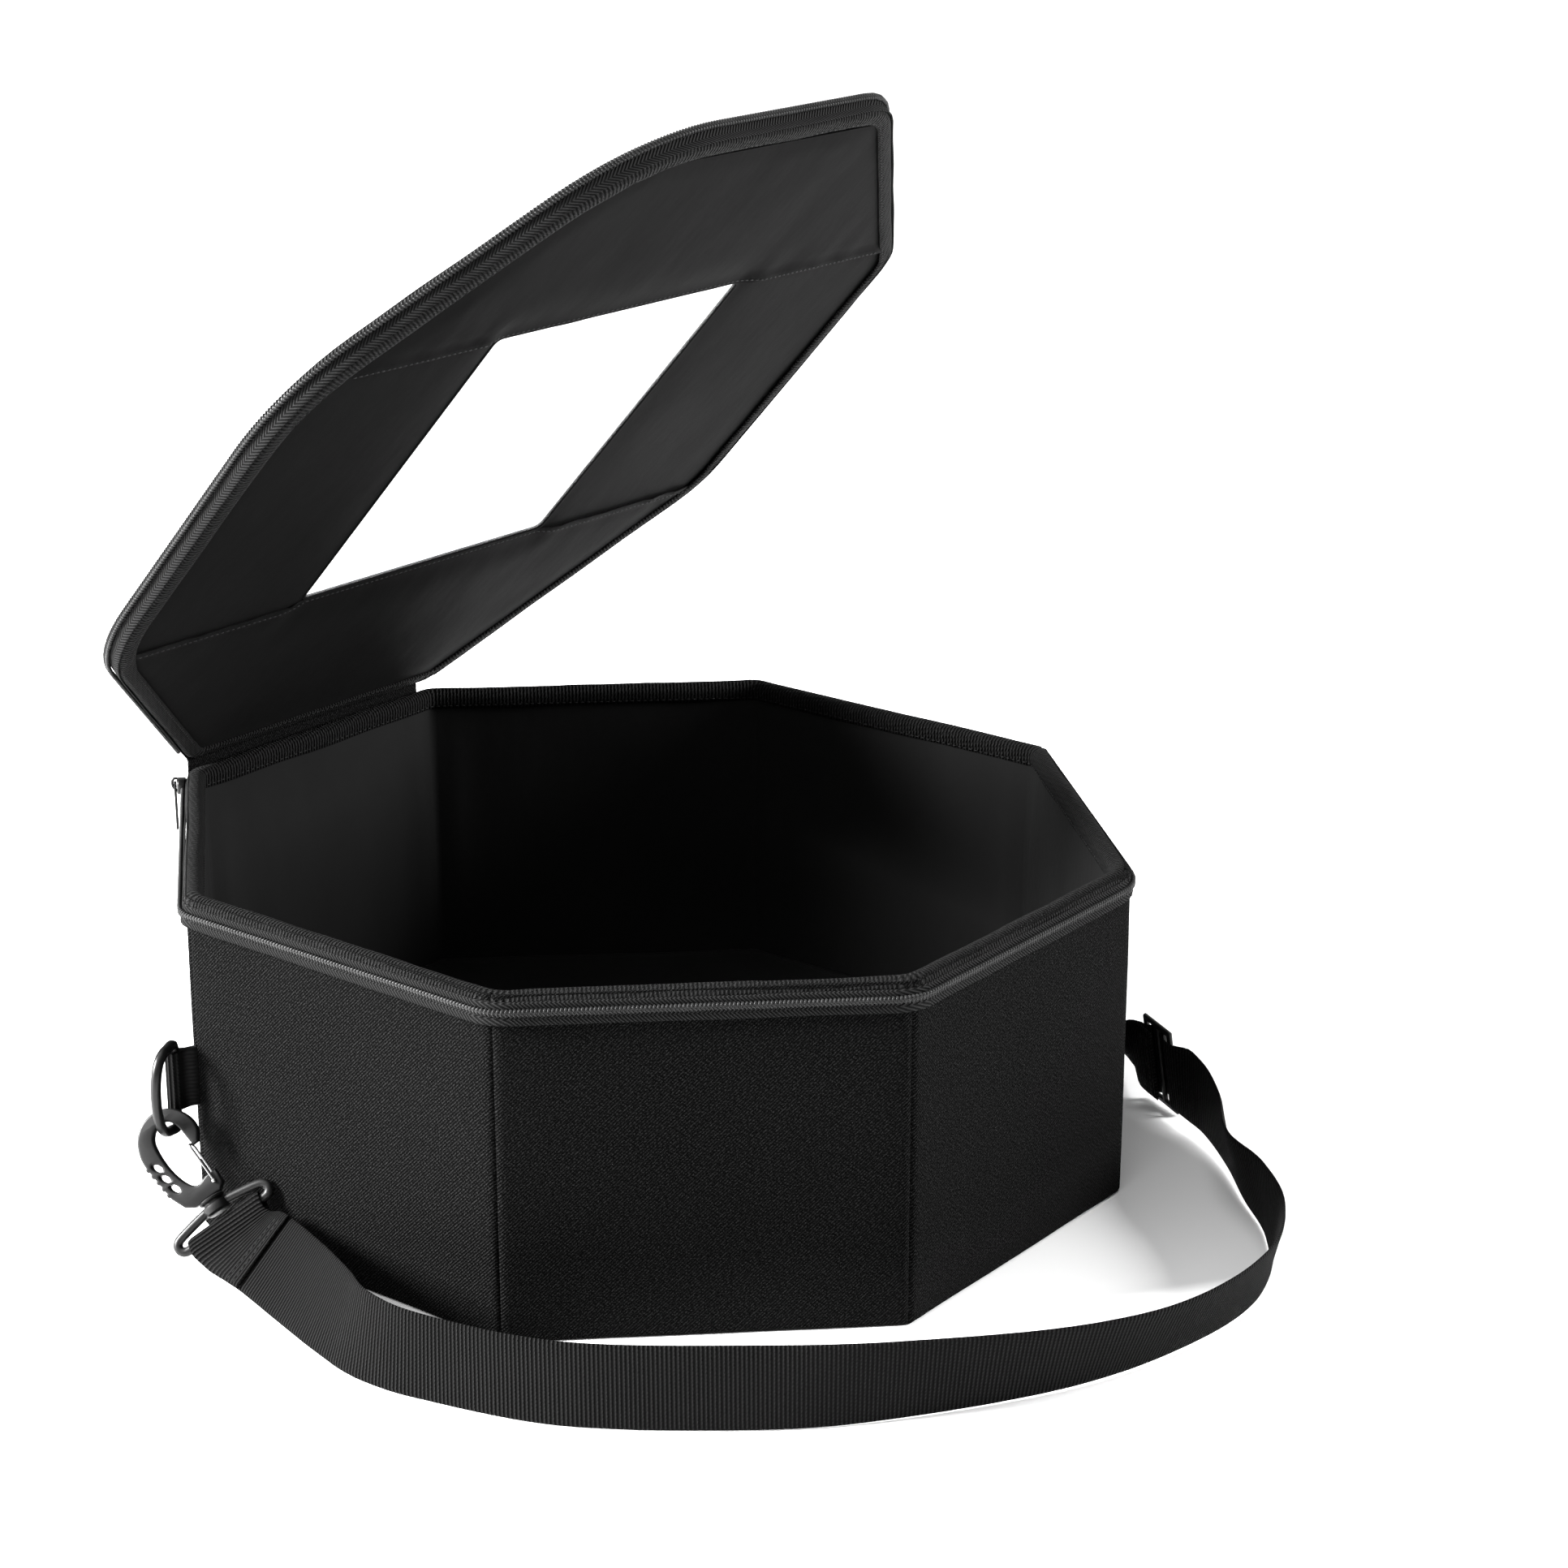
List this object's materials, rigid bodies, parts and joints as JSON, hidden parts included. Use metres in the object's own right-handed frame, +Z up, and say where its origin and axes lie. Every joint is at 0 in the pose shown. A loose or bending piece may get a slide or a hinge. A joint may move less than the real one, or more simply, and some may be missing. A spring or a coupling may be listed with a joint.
{
  "type": "hat storage box",
  "caption": "Eight-sided padded fabric storage box with a hinged zip lid, a clear window in the lid and a webbing shoulder strap on snap hooks at two corner rings.",
  "frame": {"origin": "centre of the box's underside, where it rests on the floor", "axes": "+Z up, X along the lid's hinge, +Y towards the hinge side; the strap lies round the front (-Y) and the left (-X)"},
  "size_m": [0.5117, 0.5919, 0.5137],
  "materials": {
    "cover_cloth": "black woven polyester, matt",
    "lining_satin": "black nylon lining, slight sheen",
    "ribbed_ribbon": "black ribbed binding tape",
    "zip_cloth": "black herringbone zip tape",
    "zip_coil": "black nylon coil",
    "webbing": "black ribbed webbing",
    "black_metal": "black coated steel",
    "black_plastic": "black satin plastic",
    "bright_steel": "bright spring steel wire",
    "clear_sheet": "clear flexible sheet"
  },
  "bodies": {
    "box": {"wall_front_left": "cover_cloth", "wall_front": "cover_cloth", "wall_front_right": "cover_cloth", "wall_right": "cover_cloth", "wall_back_right": "cover_cloth", "wall_back": "cover_cloth", "wall_back_left": "cover_cloth", "wall_left": "cover_cloth", "floor_panel": "cover_cloth", "lining": "lining_satin", "rim_binding": "ribbed_ribbon", "box_zip_tape": "zip_cloth", "box_zip_coil": "zip_coil", "zip_slider": "black_metal", "zip_pull": "black_metal", "hinge_strip_lower": "cover_cloth", "ring_tab_left": "webbing", "ring_tab_right": "webbing", "ring_left": "black_metal", "ring_right": "black_metal", "snap_hook_left": "black_plastic", "snap_hook_right": "black_plastic", "strap_loop_left": "black_plastic", "strap_loop_right": "black_plastic", "strap": "webbing", "strap_buckle": "black_plastic"},
    "lid": {"lid_panel_back": "cover_cloth", "lid_panel_front": "cover_cloth", "lid_panel_left": "cover_cloth", "lid_panel_right": "cover_cloth", "window_pane": "clear_sheet", "lid_binding": "ribbed_ribbon", "lid_zip_tape": "zip_cloth", "lid_zip_coil": "zip_coil", "hinge_strip_upper": "cover_cloth"},
    "gate_left": {"gate_left": "bright_steel"},
    "gate_right": {"gate_right": "bright_steel"}
  },
  "joints": [
    {"name": "lid_hinge", "type": "hinge", "parent": "box", "child": "lid", "pos_m": [0, 0.2308, 0.1673], "axis": [-1, 0, 0], "range_deg": [-47.3, 130]},
    {"name": "gate_left_pivot", "type": "hinge", "parent": "box", "child": "gate_left", "pos_m": [-0.22692, 0.06663, 0.03751], "axis": [-0.7771, -0.4372, 0.4527], "range_deg": [0, 20], "stiffness_Nm_per_rad": 0.02, "springref_deg": -5.73},
    {"name": "gate_right_pivot", "type": "hinge", "parent": "box", "child": "gate_right", "pos_m": [0.21631, -0.1257, 0.02905], "axis": [0.268, -0.8504, 0.4527], "range_deg": [0, 20], "stiffness_Nm_per_rad": 0.02, "springref_deg": -5.73}
  ]
}
